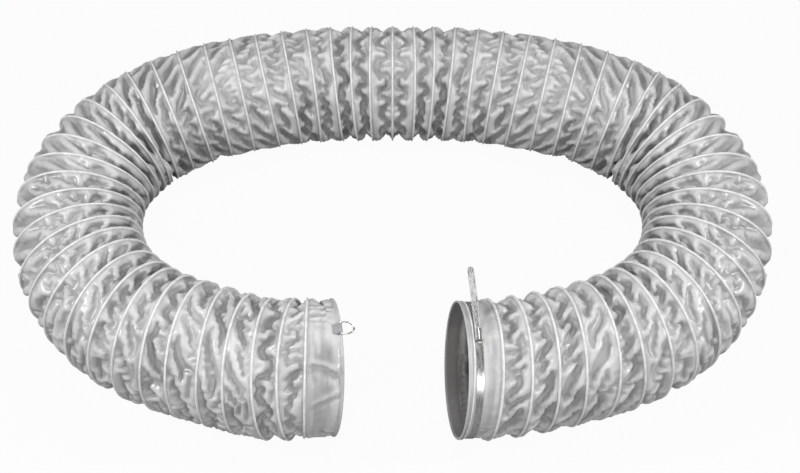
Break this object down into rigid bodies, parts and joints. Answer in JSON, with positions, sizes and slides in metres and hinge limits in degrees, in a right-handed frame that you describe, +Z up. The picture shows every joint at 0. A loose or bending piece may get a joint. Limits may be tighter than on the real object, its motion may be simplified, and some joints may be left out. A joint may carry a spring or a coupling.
{
  "type": "flexible air duct",
  "caption": "Large ribbed fabric air duct on a spring wire, lying in a C, with plain cuffs, a worm clamp on one end and D-rings on the other.",
  "frame": {"origin": "on the floor, under the middle of the bounding box of the duct as it lies", "axes": "+Z up, +X to the right along the back of the C, -Y towards the side where both mouths meet"},
  "size_m": [1.8838, 1.3795, 0.3357],
  "materials": {
    "duct_fabric": "semi-gloss coated",
    "spring_wire": "drawn",
    "covered_wire": "coated",
    "webbing": "woven",
    "ring_metal": "plated",
    "clamp_steel": "satin"
  },
  "bodies": {
    "middle": {"hose_middle": "duct_fabric"},
    "left_1": {"hose_left_1": "duct_fabric"},
    "left_2": {"hose_left_2": "duct_fabric"},
    "left_3": {"hose_left_3": "duct_fabric"},
    "left_4": {"hose_left_4": "duct_fabric"},
    "left_5": {"hose_left_5": "duct_fabric"},
    "left_arm": {"hose_left_arm": "duct_fabric"},
    "left_neck": {"hose_left_neck": "duct_fabric"},
    "left_end": {"left_cuff": "duct_fabric", "left_rim_wire": "spring_wire", "left_cuff_wire": "covered_wire", "upper_tab": "webbing", "lower_tab": "webbing"},
    "upper_ring": {"upper_d_ring": "ring_metal"},
    "lower_ring": {"lower_d_ring": "ring_metal"},
    "right_1": {"hose_right_1": "duct_fabric"},
    "right_2": {"hose_right_2": "duct_fabric"},
    "right_3": {"hose_right_3": "duct_fabric"},
    "right_4": {"hose_right_4": "duct_fabric"},
    "right_5": {"hose_right_5": "duct_fabric"},
    "right_arm": {"hose_right_arm": "duct_fabric"},
    "right_end": {"hose_right_neck": "duct_fabric", "right_cuff": "duct_fabric", "right_rim_wire": "spring_wire", "right_end_wire": "covered_wire", "right_rivet": "ring_metal", "clamp_band": "clamp_steel", "clamp_housing": "clamp_steel"},
    "clamp_screw": {"clamp_screw": "clamp_steel"},
    "clamp_tail": {"clamp_tail": "clamp_steel"}
  },
  "joints": [
    {"name": "middle_stretch", "type": "slide", "parent": "middle", "child": "left_1", "axis": [-1, 0, 0], "range_m": [-0.15, 0.075], "deforming": ["hose_middle"]},
    {"name": "left_bend_1", "type": "hinge", "parent": "left_1", "child": "left_2", "pos_m": [-0.2986, 0.50833, 0.1549], "axis": [0, 0, 1], "range_deg": [-15, 8], "deforming": ["hose_left_1"]},
    {"name": "left_bend_2", "type": "hinge", "parent": "left_2", "child": "left_3", "pos_m": [-0.57704, 0.40288, 0.1549], "axis": [0, 0, 1], "range_deg": [-33, 8], "deforming": ["hose_left_2"]},
    {"name": "left_bend_3", "type": "hinge", "parent": "left_3", "child": "left_4", "pos_m": [-0.75831, 0.16987, 0.1549], "axis": [0, 0, 1], "range_deg": [-38, 8], "deforming": ["hose_left_3"]},
    {"name": "left_bend_4", "type": "hinge", "parent": "left_4", "child": "left_5", "pos_m": [-0.76536, -0.12553, 0.1549], "axis": [0, 0, 1], "range_deg": [-31, 8], "deforming": ["hose_left_4"]},
    {"name": "left_bend_5", "type": "hinge", "parent": "left_5", "child": "left_arm", "pos_m": [-0.61155, -0.37782, 0.1549], "axis": [0, 0, 1], "range_deg": [-38, 8], "deforming": ["hose_left_5"]},
    {"name": "left_arm_stretch", "type": "slide", "parent": "left_arm", "child": "left_neck", "axis": [0.9367, -0.3502, 0], "range_m": [-0.055, 0.045], "deforming": ["hose_left_arm"]},
    {"name": "left_neck_bend", "type": "hinge", "parent": "left_neck", "child": "left_end", "pos_m": [-0.25654, -0.53071, 0.1549], "axis": [0, 0, 1], "range_deg": [-28, 10], "deforming": ["hose_left_neck"]},
    {"name": "upper_ring_swing", "type": "hinge", "parent": "left_end", "child": "upper_ring", "pos_m": [-0.11116, -0.54407, 0.30775], "axis": [0.1231, -0.9773, -0.1722], "range_deg": [-40, 170]},
    {"name": "lower_ring_swing", "type": "hinge", "parent": "left_end", "child": "lower_ring", "pos_m": [-0.16504, -0.37973, 0.08744], "axis": [0.0545, 0.4355, 0.8986], "range_deg": [-40, 170]},
    {"name": "right_bend_1", "type": "hinge", "parent": "middle", "child": "right_1", "pos_m": [0.2986, 0.50833, 0.1549], "axis": [0, 0, 1], "range_deg": [-8, 15], "deforming": ["hose_right_1"]},
    {"name": "right_bend_2", "type": "hinge", "parent": "right_1", "child": "right_2", "pos_m": [0.57704, 0.40288, 0.1549], "axis": [0, 0, 1], "range_deg": [-8, 33], "deforming": ["hose_right_2"]},
    {"name": "right_bend_3", "type": "hinge", "parent": "right_2", "child": "right_3", "pos_m": [0.75831, 0.16987, 0.1549], "axis": [0, 0, 1], "range_deg": [-8, 38], "deforming": ["hose_right_3"]},
    {"name": "right_bend_4", "type": "hinge", "parent": "right_3", "child": "right_4", "pos_m": [0.76536, -0.12553, 0.1549], "axis": [0, 0, 1], "range_deg": [-8, 31], "deforming": ["hose_right_4"]},
    {"name": "right_bend_5", "type": "hinge", "parent": "right_4", "child": "right_5", "pos_m": [0.61155, -0.37782, 0.1549], "axis": [0, 0, 1], "range_deg": [-8, 38], "deforming": ["hose_right_5"]},
    {"name": "right_arm_stretch", "type": "slide", "parent": "right_5", "child": "right_arm", "axis": [-0.9537, -0.3007, 0], "range_m": [-0.11, 0.045], "deforming": ["hose_right_arm"]},
    {"name": "right_neck_bend", "type": "hinge", "parent": "right_arm", "child": "right_end", "pos_m": [0.25326, -0.52076, 0.1549], "axis": [0, 0, 1], "range_deg": [-12, 18], "deforming": ["hose_right_neck"]},
    {"name": "clamp_screw_turn", "type": "hinge", "parent": "right_end", "child": "clamp_screw", "pos_m": [0.18606, -0.56493, 0.31015], "axis": [0.0719, -0.972, -0.2239], "range_deg": [-1080, 1080]},
    {"name": "clamp_tail_feed", "type": "slide", "parent": "right_end", "child": "clamp_tail", "axis": [-0.0719, 0.972, 0.2239], "range_m": [-0.0096, 0.0096]}
  ],
  "couplings": [
    {"joint": "clamp_screw_turn", "follows": "clamp_tail_feed", "rad_per_m": 1963.5}
  ]
}
